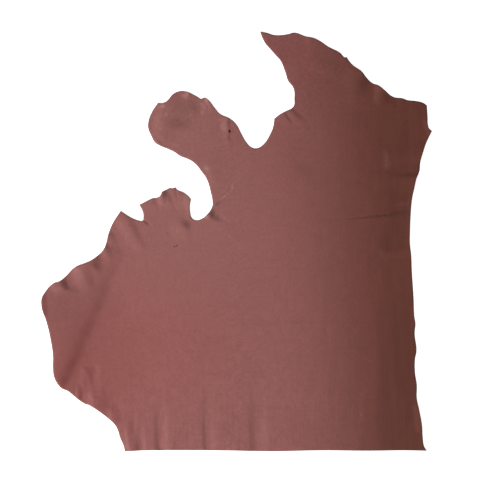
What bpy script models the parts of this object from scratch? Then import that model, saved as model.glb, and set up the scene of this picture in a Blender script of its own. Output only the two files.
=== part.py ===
"""Leather hide: one tanned half skin that lies face up, flat in the middle and rippled at its rim.

The skin is a single piece. A straight knife cut runs along its lower side, and the rest keeps the
outline of the animal: a foreleg and a small lobe on the left, parted by deep notches, the neck at
the top and the backbone side on the right.

Places are in millimetres from the left end of the knife cut, x along the cut and y across the skin.
"""

import math
from typing import NamedTuple

import bmesh
import bpy
from mathutils import Vector
from mathutils.geometry import delaunay_2d_cdt
from mathutils.kdtree import KDTree

MM = 0.001

# Driving sizes
THICKNESS_MM = 1.8
FOLD_GRID_MM = 11.0
FLAT_GRID_STEPS = 4
FOLD_SHOWS_MM = 0.3
RIM_CLEARANCE = 0.55
STEPS_BETWEEN_POINTS = 4
JOIN_MM = 0.0001
SETTLE_MM = 1.2

# Sway of the folds, each wave as how far it moves a place and how long it is
SWAY_WAVES_MM = ((1.6, 145.0), (0.7, 57.0))

# Finish
LEATHER_COLOUR = (0.29, 0.115, 0.102, 1.0)
LEATHER_ROUGHNESS = 0.55


class Stretch(NamedTuple):
    """One stretch of the rim, clockwise, as rows of (x, y); its first row is a sharp corner or a bend."""

    name: str
    starts: str
    rows_mm: tuple


class Fold(NamedTuple):
    """One soft ridge, or trough where its height is below zero, from the rim into the skin.

    A lean above zero widens the slope on the left of the way from start to end and narrows the other.
    """

    name: str
    start_mm: tuple
    end_mm: tuple
    reach_mm: tuple
    height_mm: tuple
    lean: float


RIM = (
    Stretch("neck edge", "corner", (
        (377, 1174), (397, 1170), (418, 1164), (457, 1167), (471, 1171), (507, 1160), (527, 1156),
        (546, 1147), (568, 1132), (602, 1114), (614, 1102),
    )),
    Stretch("shoulder edge", "corner", (
        (620, 1102), (627, 1091), (639, 1078), (660, 1063), (675, 1045), (691, 1030), (708, 1023),
        (726, 1009), (750, 991), (775, 987), (790, 982), (816, 979), (834, 974),
    )),
    Stretch("shoulder corner", "corner", (
        (844, 967), (846, 937), (847, 913), (850, 903),
    )),
    Stretch("upper backbone", "corner", (
        (858, 895), (851, 880), (842, 861), (833, 835), (826, 809), (823, 782), (815, 762),
        (809, 735), (803, 707), (799, 665), (797, 618), (797, 574),
    )),
    Stretch("lower backbone", "bend", (
        (800, 551), (802, 506), (807, 425), (809, 376), (812, 356), (810, 329), (815, 280),
        (811, 257), (811, 219), (816, 184), (816, 148), (823, 113), (830, 74), (833, 34), (836, 14),
    )),
    Stretch("knife cut", "corner", (
        (844, 0), (780, 1), (685, 0), (552, 1), (383, -1), (293, 1), (47, 1),
    )),
    Stretch("belly edge", "corner", (
        (-1, -1), (-5, 15), (-15, 38), (-21, 58), (-30, 74), (-47, 90), (-98, 126), (-116, 133),
        (-136, 147), (-161, 167), (-178, 175), (-189, 188), (-199, 210), (-202, 235),
    )),
    Stretch("flank", "bend", (
        (-202, 265), (-207, 301), (-223, 368), (-231, 389), (-235, 411), (-234, 427), (-229, 438),
        (-200, 470), (-185, 474), (-172, 484), (-138, 516), (-114, 525), (-96, 533), (-82, 543),
        (-60, 565), (-53, 584), (-46, 612), (-35, 638),
    )),
    Stretch("point", "corner", (
        (-13, 672), (19, 652), (34, 646), (46, 644),
    )),
    Stretch("small notch", "corner", (
        (50, 646), (50, 665), (45, 678),
    )),
    Stretch("lobe", "corner", (
        (39, 689), (55, 697), (76, 707), (92, 710), (99, 716),
    )),
    Stretch("lobe tip", "corner", (
        (102, 725), (116, 732), (125, 736), (132, 735),
    )),
    Stretch("lobe side", "corner", (
        (140, 738), (146, 731), (162, 724), (177, 713),
    )),
    Stretch("lobe root", "corner", (
        (184, 704), (181, 687), (182, 667), (186, 653), (197, 646), (212, 649), (226, 659),
    )),
    Stretch("crescent notch", "bend", (
        (243, 684), (244, 697), (240, 720), (227, 762), (213, 782), (201, 798), (189, 809),
        (172, 818), (154, 825), (138, 836), (119, 845), (97, 854), (83, 863),
    )),
    Stretch("foreleg end", "bend", (
        (73, 881), (64, 903), (65, 925), (75, 950),
    )),
    Stretch("foreleg top", "corner", (
        (91, 974), (107, 974), (117, 980), (135, 1000), (153, 1007), (170, 1006), (192, 997),
    )),
    Stretch("neck notch", "corner", (
        (212, 985), (221, 989), (232, 983), (250, 961), (265, 944), (295, 929), (311, 914),
        (325, 888), (339, 864), (353, 850), (366, 847), (383, 855), (407, 890), (414, 909),
    )),
    Stretch("throat", "corner", (
        (417, 930), (431, 941), (449, 951), (464, 958), (472, 967), (473, 986), (473, 1005),
        (469, 1018), (455, 1037), (449, 1056), (443, 1073), (435, 1091), (423, 1105), (406, 1124),
        (392, 1140), (383, 1157),
    )),
)

FOLDS = (
    # name, start, end, reach at start and end, height at start and end, lean
    Fold("lift of the knife cut", (18, -3), (419, -3), (170, 170), (3.4, 3.0), 0.0),
    Fold("first trough in the cut", (45, -3), (43, 72), (18, 14), (-2.0, -0.2), -0.1),
    Fold("second trough in the cut", (99, -3), (95, 155), (24, 28), (-2.6, -1.3), -0.2),
    Fold("third trough in the cut", (231, -3), (226, 185), (25, 30), (-2.1, -1.3), -0.38),
    Fold("widest trough in the cut", (369, -3), (361, 200), (31, 34), (-2.7, -1.5), -0.2),
    Fold("roll of the belly corner", (17, -3), (5, 72), (20, 18), (2.2, 0.9), -0.3),
    Fold("belly roll low", (-36, 86), (-38, 128), (22, 18), (2.4, 0.4), -0.25),
    Fold("belly roll middle", (-87, 122), (-84, 184), (46, 38), (4.9, 1.1), -0.45),
    Fold("belly roll high", (-132, 147), (-127, 190), (16, 13), (2.6, 0.4), 0.0),
    Fold("lift of the flank", (-133, 529), (-220, 215), (150, 90), (2.4, 2.4), 0.0),
    Fold("crest of the flank step", (-43, 535), (-188, 196), (66, 56), (2.8, 6.6), -0.35),
    Fold("turned up rim of the flank", (-238, 440), (-236, 384), (20, 20), (3.2, 2.2), 0.0),
    Fold("flank wave low", (-188, 480), (-168, 437), (34, 28), (6.2, 0.0), -0.17),
    Fold("flank wave high", (-122, 518), (-100, 456), (38, 32), (7.4, 0.6), -0.2),
    Fold("shoulder of the high wave", (-96, 530), (-78, 487), (30, 25), (5.6, 0.5), 0.0),
    Fold("flank wave by the point", (-59, 566), (-44, 526), (19, 16), (2.3, 0.0), 0.0),
    Fold("small wave by the point", (-47, 598), (-21, 587), (24, 20), (3.2, 0.0), 0.0),
    Fold("ridge from the point", (2, 645), (44, 570), (38, 32), (3.5, 1.6), -0.2),
    Fold("lift of the lobe", (63, 702), (172, 708), (48, 42), (2.0, 2.0), 0.0),
    Fold("turned up corner of the lobe", (99, 727), (103, 697), (16, 14), (3.8, 1.2), 0.0),
    Fold("turned up side of the lobe", (181, 714), (180, 672), (24, 22), (1.9, 1.4), 0.0),
    Fold("roll below the lobe", (163, 628), (178, 594), (44, 38), (2.6, 0.6), -0.4),
    Fold("turned edge of the crescent root", (232, 661), (236, 674), (20, 18), (4.4, 2.0), 0.0),
    Fold("lift of the crescent rim", (236, 796), (246, 762), (40, 36), (1.6, 1.6), 0.6),
    Fold("roll of the foreleg end", (106, 973), (99, 885), (54, 46), (3.4, 2.8), 0.35),
    Fold("foreleg ridge", (175, 1009), (178, 980), (15, 13), (3.6, 0.0), 0.0),
    Fold("ridge by the foreleg nick", (233, 987), (243, 940), (20, 16), (3.6, 0.0), 0.1),
    Fold("throat pleat", (440, 944), (469, 907), (28, 22), (2.3, 0.3), -0.6),
    Fold("throat pleat by the neck", (459, 953), (500, 909), (21, 18), (2.4, 0.4), -0.15),
    Fold("curl of the neck tip", (380, 1170), (410, 1122), (45, 35), (2.0, 0.4), 0.0),
    Fold("neck ridge", (520, 1158), (523, 1077), (36, 32), (2.3, 0.4), 0.2),
    Fold("shoulder wave high", (662, 1058), (644, 992), (50, 48), (5.4, 1.4), -0.35),
    Fold("shoulder wave low", (719, 1014), (705, 962), (30, 26), (6.6, 0.2), 0.0),
    Fold("shoulder ripple", (774, 990), (768, 958), (20, 18), (1.8, 0.0), 0.0),
    Fold("turned up point of the backbone", (850, 918), (860, 892), (22, 22), (2.4, 2.8), 0.0),
    Fold("swell above the first backbone crease", (828, 830), (746, 818), (42, 36), (4.2, 0.8), -0.19),
    Fold("swell below the first backbone crease", (819, 763), (727, 770), (44, 38), (3.9, 0.9), 0.58),
    Fold("lift of the backbone", (806, 700), (800, 575), (28, 28), (1.8, 1.6), 0.0),
    Fold("turned up rim of the lower backbone", (806, 392), (812, 356), (18, 18), (1.4, 1.4), 0.0),
    Fold("lower lift of the backbone", (825, 118), (831, 66), (32, 30), (2.7, 2.7), 0.0),
)


def clear_scene():
    """Removes whatever the scene holds."""
    for item in list(bpy.data.objects):
        bpy.data.objects.remove(item, do_unlink=True)


def swayed(place):
    """A place moved a little to and fro, so that no fold runs dead straight."""
    moved = place.copy()
    for shift, length in SWAY_WAVES_MM:
        moved.x += shift * math.sin(2.0 * math.pi * place.y / length)
        moved.y += shift * math.sin(2.0 * math.pi * place.x / length)
    return moved


def fold_height(fold, place):
    """Height that one fold gives at a place: a leaning bell across its line, changing evenly along it."""
    start = Vector(fold.start_mm)
    line = Vector(fold.end_mm) - start
    along = (place - start).dot(line) / line.length_squared
    along = min(max(along, 0.0), 1.0)
    offset = place - start - line * along
    reach = fold.reach_mm[0] + (fold.reach_mm[1] - fold.reach_mm[0]) * along
    if offset.length > 0.0:
        reach *= 1.0 + fold.lean * line.cross(offset) / (line.length * offset.length)
    height = fold.height_mm[0] + (fold.height_mm[1] - fold.height_mm[0]) * along
    return height * 0.5 * (1.0 + math.cos(math.pi * min(offset.length / reach, 1.0)))


def skin_height(place):
    """Height of the underside: the folds added up, and level with the floor where none lifts it."""
    moved = swayed(place)
    total = sum(fold_height(fold, moved) for fold in FOLDS)
    if total <= 0.0:
        return 0.0
    if total < SETTLE_MM:
        return total * total / (2.0 * SETTLE_MM)
    return total - SETTLE_MM / 2.0


def rim_points():
    """Points around the rim, from one closed curve through the rows of every stretch."""
    rows = []
    for stretch in RIM:
        for number, row in enumerate(stretch.rows_mm):
            sharp = number == 0 and stretch.starts == "corner"
            rows.append((row, "VECTOR" if sharp else "AUTO"))
    curve = bpy.data.curves.new("rim", "CURVE")
    curve.dimensions = "3D"
    curve.resolution_u = STEPS_BETWEEN_POINTS
    spline = curve.splines.new("BEZIER")
    spline.bezier_points.add(len(rows) - 1)
    spline.use_cyclic_u = True
    for point, (row, handles) in zip(spline.bezier_points, rows):
        point.co = (row[0], row[1], 0.0)
        point.handle_left_type = handles
        point.handle_right_type = handles
    guide = bpy.data.objects.new("rim", curve)
    bpy.context.scene.collection.objects.link(guide)
    bpy.context.view_layer.update()
    mesh = bpy.data.meshes.new_from_object(guide)
    points = [vertex.co.to_2d() for vertex in mesh.vertices]
    bpy.data.objects.remove(guide, do_unlink=True)
    return points


def inner_points(rim):
    """Grid points inside the rim, closer together where a fold lifts the skin."""
    near = KDTree(len(rim))
    for number, point in enumerate(rim):
        near.insert(point.to_3d(), number)
    near.balance()
    low = Vector((min(point.x for point in rim), min(point.y for point in rim)))
    high = Vector((max(point.x for point in rim), max(point.y for point in rim)))
    points = []
    for row in range(int((high.y - low.y) / FOLD_GRID_MM) + 1):
        for column in range(int((high.x - low.x) / FOLD_GRID_MM) + 1):
            place = low + Vector((column, row)) * FOLD_GRID_MM
            coarse = row % FLAT_GRID_STEPS == 0 and column % FLAT_GRID_STEPS == 0
            if not coarse and skin_height(place) < FOLD_SHOWS_MM:
                continue
            if near.find(place.to_3d())[2] > FOLD_GRID_MM * RIM_CLEARANCE:
                points.append(place)
    return points


def skin_mesh():
    """The underside of the skin as one sheet of triangles at its lying height."""
    rim = rim_points()
    places = rim + inner_points(rim)
    places, _, faces, _, _, _ = delaunay_2d_cdt(places, [], [list(range(len(rim)))], 1, JOIN_MM)
    sheet = bmesh.new()
    for place in places:
        sheet.verts.new((place.x * MM, place.y * MM, skin_height(place) * MM))
    sheet.verts.ensure_lookup_table()
    for corners in faces:
        sheet.faces.new([sheet.verts[corner] for corner in corners])
    bmesh.ops.delete(sheet, geom=[v for v in sheet.verts if not v.link_faces], context="VERTS")
    sheet.normal_update()
    if sum(face.normal.z for face in sheet.faces) < 0.0:
        bmesh.ops.reverse_faces(sheet, faces=sheet.faces[:])
    mesh = bpy.data.meshes.new("hide")
    sheet.to_mesh(mesh)
    sheet.free()
    return mesh


def centre_on_floor(mesh):
    """Moves the mesh so that the middle of its bounding box is over the origin, on the floor."""
    middle = Vector()
    for axis in range(2):
        values = [vertex.co[axis] for vertex in mesh.vertices]
        middle[axis] = (min(values) + max(values)) / 2.0
    middle.z = min(vertex.co.z for vertex in mesh.vertices)
    for vertex in mesh.vertices:
        vertex.co -= middle


def leather():
    """Reddish brown leather."""
    material = bpy.data.materials.new("leather")
    material.use_nodes = True
    shader = material.node_tree.nodes["Principled BSDF"]
    shader.inputs["Base Color"].default_value = LEATHER_COLOUR
    shader.inputs["Roughness"].default_value = LEATHER_ROUGHNESS
    return material


def make_hide(collection):
    """The whole skin at its real thickness."""
    hide = bpy.data.objects.new("hide", skin_mesh())
    collection.objects.link(hide)
    thicken = hide.modifiers.new("thickness", "SOLIDIFY")
    thicken.thickness = THICKNESS_MM * MM
    thicken.offset = 1.0
    thicken.use_even_offset = True
    split = hide.modifiers.new("triangles", "TRIANGULATE")
    split.quad_method = "BEAUTY"
    bpy.context.view_layer.update()
    depsgraph = bpy.context.evaluated_depsgraph_get()
    solid = bpy.data.meshes.new_from_object(hide.evaluated_get(depsgraph))
    hide.modifiers.clear()
    hide.data = solid
    centre_on_floor(solid)
    solid.materials.clear()
    solid.materials.append(leather())
    return hide


def main():
    """Builds the hide in its own collection."""
    clear_scene()
    collection = bpy.data.collections.new("leather hide")
    bpy.context.scene.collection.children.link(collection)
    make_hide(collection)


main()
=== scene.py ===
"""Looks of the leather hide: a dyed half skin with fine grain, creases, scars and a raw cut edge."""

import logging
import math
from dataclasses import dataclass
from enum import Enum
from typing import Any

import bmesh
import bpy
import numpy as np
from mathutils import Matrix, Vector
from mathutils.geometry import delaunay_2d_cdt
from mathutils.kdtree import KDTree


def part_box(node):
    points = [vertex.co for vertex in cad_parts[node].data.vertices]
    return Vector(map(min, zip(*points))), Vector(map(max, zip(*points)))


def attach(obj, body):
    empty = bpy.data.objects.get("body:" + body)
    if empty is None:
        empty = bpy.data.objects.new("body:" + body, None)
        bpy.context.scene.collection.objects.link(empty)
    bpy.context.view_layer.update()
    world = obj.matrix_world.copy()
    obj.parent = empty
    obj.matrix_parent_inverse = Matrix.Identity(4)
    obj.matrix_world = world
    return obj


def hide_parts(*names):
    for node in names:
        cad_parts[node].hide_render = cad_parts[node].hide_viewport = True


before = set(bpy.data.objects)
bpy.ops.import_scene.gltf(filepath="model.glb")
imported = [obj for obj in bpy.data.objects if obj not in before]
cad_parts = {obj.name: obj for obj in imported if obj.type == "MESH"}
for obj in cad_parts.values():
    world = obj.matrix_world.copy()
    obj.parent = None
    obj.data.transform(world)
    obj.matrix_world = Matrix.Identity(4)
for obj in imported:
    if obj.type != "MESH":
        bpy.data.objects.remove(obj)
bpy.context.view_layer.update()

MM = 0.001
LOG = logging.getLogger("leather_hide")


class Turn(Enum):
    """How the rim passes through the first row of a stretch."""

    CORNER = "VECTOR"
    BEND = "AUTO"


class Side(Enum):
    """Sides of the leather, numbered as their material slots."""

    GRAIN = 0
    FLESH = 1
    CUT_EDGE = 2


class Press(Enum):
    """Cross-section of a line in the leather."""

    SOFT = "rounded, as where the skin rolls"
    SHARP = "pointed, as where the skin was folded hard"


class Tone(Enum):
    """What a mark does to the colour around it."""

    # Darker marks are stains and scars, and also painted shade on the shaded sides of folds, creases and
    # rims and in the pit
    DARKER = "stain, scar or pit"
    # Paler marks are scuffs, and also painted light on the lit sides of folds, rims and raised creases
    PALER = "scuff or worn place"
    FULLER = "broad and even place that took more dye"
    REDDER = "broad and even place that stayed redder"
    LIGHTER = "broad and even place that took less dye"


# Marks of these tones, real stains, scars and scuffs as well as the painted shade and light of folds,
# creases and the pit, are broken up by wear
WORN_TONES = (Tone.DARKER, Tone.PALER)


class Zone(Enum):
    """Part of the skin where a mottle shows."""

    ALL = "the whole skin"
    FRONT = "fades towards the backbone"
    BACK = "fades towards the belly"
    CUT = "fades away from the knife cut"
    BELLY = "low on the belly side"
    LIMBS = "foreleg, lobe and neck"


@dataclass(frozen=True)
class Stretch:
    """One stretch of the rim, clockwise, as rows of (x, y) in mm from the left end of the knife cut."""

    name: str
    starts: Turn
    rows: tuple[tuple[float, float], ...]


@dataclass(frozen=True)
class Fold:
    """One ridge, or a trough where its height is below zero, in mm.

    A lean above zero widens the slope on the left of the way from start to end and narrows the other.
    """

    name: str
    start: tuple[float, float]
    end: tuple[float, float]
    reach: tuple[float, float]
    height: tuple[float, float]
    lean: float
    press: Press = Press.SOFT


@dataclass(frozen=True)
class Mark:
    """One mark on the grain: middle, length and width in mm, and the bearing of its length in degrees."""

    name: str
    middle: tuple[float, float]
    length: float
    width: float
    bearing: float
    strength: float


@dataclass(frozen=True)
class Mottle:
    """One unevenness of the dye: size across and along the skin in mm, octaves, and depth up and down."""

    name: str
    across: float
    along: float
    octaves: float
    depth: float
    zone: Zone


RIM = (
    Stretch("neck edge", Turn.CORNER, (
        (377, 1174), (397, 1170), (418, 1164), (457, 1167), (471, 1171), (507, 1160), (527, 1156),
        (546, 1147), (568, 1132), (602, 1114), (614, 1102),
    )),
    Stretch("shoulder edge", Turn.CORNER, (
        (620, 1102), (627, 1091), (639, 1078), (660, 1063), (675, 1045), (691, 1030), (708, 1023),
        (726, 1009), (750, 991), (775, 987), (790, 982), (816, 979), (834, 974),
    )),
    Stretch("shoulder corner", Turn.CORNER, (
        (844, 967), (846, 937), (847, 913), (850, 903),
    )),
    Stretch("upper backbone", Turn.CORNER, (
        (858, 895), (851, 880), (842, 861), (833, 835), (826, 809), (823, 782), (815, 762),
        (809, 735), (803, 707), (799, 665), (797, 618), (797, 574),
    )),
    Stretch("lower backbone", Turn.BEND, (
        (800, 551), (802, 506), (807, 425), (809, 376), (812, 356), (810, 329), (815, 280),
        (811, 257), (811, 219), (816, 184), (816, 148), (823, 113), (830, 74), (833, 34), (836, 14),
    )),
    Stretch("knife cut", Turn.CORNER, (
        (844, 0), (780, 1), (685, 0), (552, 1), (383, -1), (293, 1), (47, 1),
    )),
    Stretch("belly edge", Turn.CORNER, (
        (-1, -1), (-5, 15), (-15, 38), (-21, 58), (-30, 74), (-47, 90), (-98, 126), (-116, 133),
        (-136, 147), (-161, 167), (-178, 175), (-189, 188), (-199, 210), (-202, 235),
    )),
    Stretch("flank", Turn.BEND, (
        (-202, 265), (-207, 301), (-223, 368), (-231, 389), (-235, 411), (-234, 427), (-229, 438),
        (-200, 470), (-185, 474), (-172, 484), (-138, 516), (-114, 525), (-96, 533), (-82, 543),
        (-60, 565), (-53, 584), (-46, 612), (-35, 638),
    )),
    Stretch("point", Turn.CORNER, (
        (-13, 672), (19, 652), (34, 646), (46, 644),
    )),
    Stretch("small notch", Turn.CORNER, (
        (50, 646), (50, 665), (45, 678),
    )),
    Stretch("lobe", Turn.CORNER, (
        (39, 689), (55, 697), (76, 707), (92, 710), (99, 716),
    )),
    Stretch("lobe tip", Turn.CORNER, (
        (102, 725), (116, 732), (125, 736), (132, 735),
    )),
    Stretch("lobe side", Turn.CORNER, (
        (140, 738), (146, 731), (162, 724), (177, 713),
    )),
    Stretch("lobe root", Turn.CORNER, (
        (184, 704), (181, 687), (182, 667), (186, 653), (197, 646), (212, 649), (226, 659),
    )),
    Stretch("crescent notch", Turn.BEND, (
        (243, 684), (244, 697), (240, 720), (227, 762), (213, 782), (201, 798), (189, 809),
        (172, 818), (154, 825), (138, 836), (119, 845), (97, 854), (83, 863),
    )),
    Stretch("foreleg end", Turn.BEND, (
        (73, 881), (64, 903), (65, 925), (75, 950),
    )),
    Stretch("foreleg top", Turn.CORNER, (
        (91, 974), (107, 974), (117, 980), (135, 1000), (153, 1007), (170, 1006), (192, 997),
    )),
    Stretch("neck notch", Turn.CORNER, (
        (212, 985), (221, 989), (232, 983), (250, 961), (265, 944), (295, 929), (311, 914),
        (325, 888), (339, 864), (353, 850), (366, 847), (383, 855), (407, 890), (414, 909),
    )),
    Stretch("throat", Turn.CORNER, (
        (417, 930), (431, 941), (449, 951), (464, 958), (472, 967), (473, 986), (473, 1005),
        (469, 1018), (455, 1037), (449, 1056), (443, 1073), (435, 1091), (423, 1105), (406, 1124),
        (392, 1140), (383, 1157),
    )),
)

# Folds that lift the whole skin, as the solid has them
FOLDS = (
    # name, start, end, reach at start and end, height at start and end, lean
    Fold("lift of the knife cut", (18, -3), (419, -3), (170, 170), (3.4, 3.0), 0.0),
    Fold("first trough in the cut", (45, -3), (43, 72), (18, 14), (-2.0, -0.2), -0.1),
    Fold("second trough in the cut", (99, -3), (95, 155), (24, 28), (-2.6, -1.3), -0.2),
    Fold("third trough in the cut", (231, -3), (226, 185), (25, 30), (-2.1, -1.3), -0.38),
    Fold("widest trough in the cut", (369, -3), (361, 200), (31, 34), (-2.7, -1.5), -0.2),
    Fold("roll of the belly corner", (17, -3), (5, 72), (20, 18), (2.2, 0.9), -0.3),
    Fold("belly roll low", (-36, 86), (-38, 128), (22, 18), (2.4, 0.4), -0.25),
    Fold("belly roll middle", (-87, 122), (-84, 184), (46, 38), (4.9, 1.1), -0.45),
    Fold("belly roll high", (-132, 147), (-127, 190), (16, 13), (2.6, 0.4), 0.0),
    Fold("lift of the flank", (-133, 529), (-220, 215), (150, 90), (2.4, 2.4), 0.0),
    Fold("crest of the flank step", (-43, 535), (-188, 196), (66, 56), (2.8, 6.6), -0.35),
    Fold("turned up rim of the flank", (-238, 440), (-236, 384), (20, 20), (3.2, 2.2), 0.0),
    Fold("flank wave low", (-188, 480), (-168, 437), (34, 28), (6.2, 0.0), -0.17),
    Fold("flank wave high", (-122, 518), (-100, 456), (38, 32), (7.4, 0.6), -0.2),
    Fold("shoulder of the high wave", (-96, 530), (-78, 487), (30, 25), (5.6, 0.5), 0.0),
    Fold("flank wave by the point", (-59, 566), (-44, 526), (19, 16), (2.3, 0.0), 0.0),
    Fold("small wave by the point", (-47, 598), (-21, 587), (24, 20), (3.2, 0.0), 0.0),
    Fold("ridge from the point", (2, 645), (44, 570), (38, 32), (3.5, 1.6), -0.2),
    Fold("lift of the lobe", (63, 702), (172, 708), (48, 42), (2.0, 2.0), 0.0),
    Fold("turned up corner of the lobe", (99, 727), (103, 697), (16, 14), (3.8, 1.2), 0.0),
    Fold("turned up side of the lobe", (181, 714), (180, 672), (24, 22), (1.9, 1.4), 0.0),
    Fold("roll below the lobe", (163, 628), (178, 594), (44, 38), (2.6, 0.6), -0.4),
    Fold("turned edge of the crescent root", (232, 661), (236, 674), (20, 18), (4.4, 2.0), 0.0),
    Fold("lift of the crescent rim", (236, 796), (246, 762), (40, 36), (1.6, 1.6), 0.6),
    Fold("roll of the foreleg end", (106, 973), (99, 885), (54, 46), (3.4, 2.8), 0.35),
    Fold("foreleg ridge", (175, 1009), (178, 980), (15, 13), (3.6, 0.0), 0.0),
    Fold("ridge by the foreleg nick", (233, 987), (243, 940), (20, 16), (3.6, 0.0), 0.1),
    Fold("throat pleat", (440, 944), (469, 907), (28, 22), (2.3, 0.3), -0.6),
    Fold("throat pleat by the neck", (459, 953), (500, 909), (21, 18), (2.4, 0.4), -0.15),
    Fold("curl of the neck tip", (380, 1170), (410, 1122), (45, 35), (2.0, 0.4), 0.0),
    Fold("neck ridge", (520, 1158), (523, 1077), (36, 32), (2.3, 0.4), 0.2),
    Fold("shoulder wave high", (662, 1058), (644, 992), (50, 48), (5.4, 1.4), -0.35),
    Fold("shoulder wave low", (719, 1014), (705, 962), (30, 26), (6.6, 0.2), 0.0),
    Fold("shoulder ripple", (774, 990), (768, 958), (20, 18), (1.8, 0.0), 0.0),
    Fold("turned up point of the backbone", (850, 918), (860, 892), (22, 22), (2.4, 2.8), 0.0),
    Fold("swell above the first backbone crease", (828, 830), (746, 818), (42, 36), (4.2, 0.8), -0.19),
    Fold("swell below the first backbone crease", (819, 763), (727, 770), (44, 38), (3.9, 0.9), 0.58),
    Fold("lift of the backbone", (806, 700), (800, 575), (28, 28), (1.8, 1.6), 0.0),
    Fold("turned up rim of the lower backbone", (806, 392), (812, 356), (18, 18), (1.4, 1.4), 0.0),
    Fold("lower lift of the backbone", (825, 118), (831, 66), (32, 30), (2.7, 2.7), 0.0),
)

# Pleats and creases in the grain side alone, too fine for the solid
CREASES = (
    Fold("fold through the pit", (288, 930), (290, 862), (20, 12), (2.2, 0.3), -0.55),
    Fold("slit above the pit", (292, 930), (291, 873), (4.0, 3.0), (-0.9, -0.4), 0.0, Press.SHARP),
    Fold("tail of the crescent root", (250, 656), (286, 641), (13, 10), (-0.9, -0.2), 0.0),
    Fold("curve behind the crescent root", (290, 640), (352, 652), (10, 9), (-0.5, -0.1), 0.0),
    Fold("pleat in the small notch", (52, 648), (78, 624), (8, 6), (-1.2, -0.1), 0.0, Press.SHARP),
    Fold("first lobe pleat", (118, 727), (141, 672), (13, 9), (-0.9, -0.1), 0.2),
    Fold("thin lobe pleat", (141, 735), (146, 690), (6, 4), (-1.1, -0.1), 0.0, Press.SHARP),
    Fold("second lobe pleat", (82, 706), (92, 668), (12, 8), (-1.0, 0.0), 0.2),
    Fold("raised crease in the crescent", (250, 690), (300, 750), (11, 9), (1.0, 0.4), 0.0),
    Fold("neck slope", (539, 1080), (620, 1056), (36, 30), (1.2, 0.4), 0.0),
    Fold("pressed backbone line", (806, 671), (713, 657), (8, 7), (-1.2, -0.9), 0.0, Press.SHARP),
    Fold("end of the pressed line", (713, 657), (560, 645), (6, 4), (-0.9, 0.0), 0.0, Press.SHARP),
    Fold("raised line in the backbone", (792, 562), (724, 554), (22, 18), (2.0, 1.0), 0.0),
    Fold("outer belly wrinkle", (-113, 226), (-116, 192), (17, 14), (1.3, 0.8), 0.0),
    Fold("knot of the belly wrinkle", (-103, 214), (-97, 190), (13, 11), (0.7, 0.5), 0.0),
    Fold("inner belly wrinkle", (-87, 230), (-81, 160), (17, 18), (-1.1, -0.6), 0.0),
    Fold("faint ripple by the corner", (23, 60), (21, 140), (9, 8), (-0.4, -0.1), 0.0),
    Fold("faint ripple beside the second", (134, 0), (137, 90), (11, 8), (0.4, 0.0), 0.0),
    Fold("faint ripple before the widest", (312, 0), (316, 120), (14, 10), (0.4, 0.0), 0.0),
    Fold("faint line above the cut", (178, 20), (182, 230), (8, 7), (-0.2, -0.1), 0.0),
)
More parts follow.
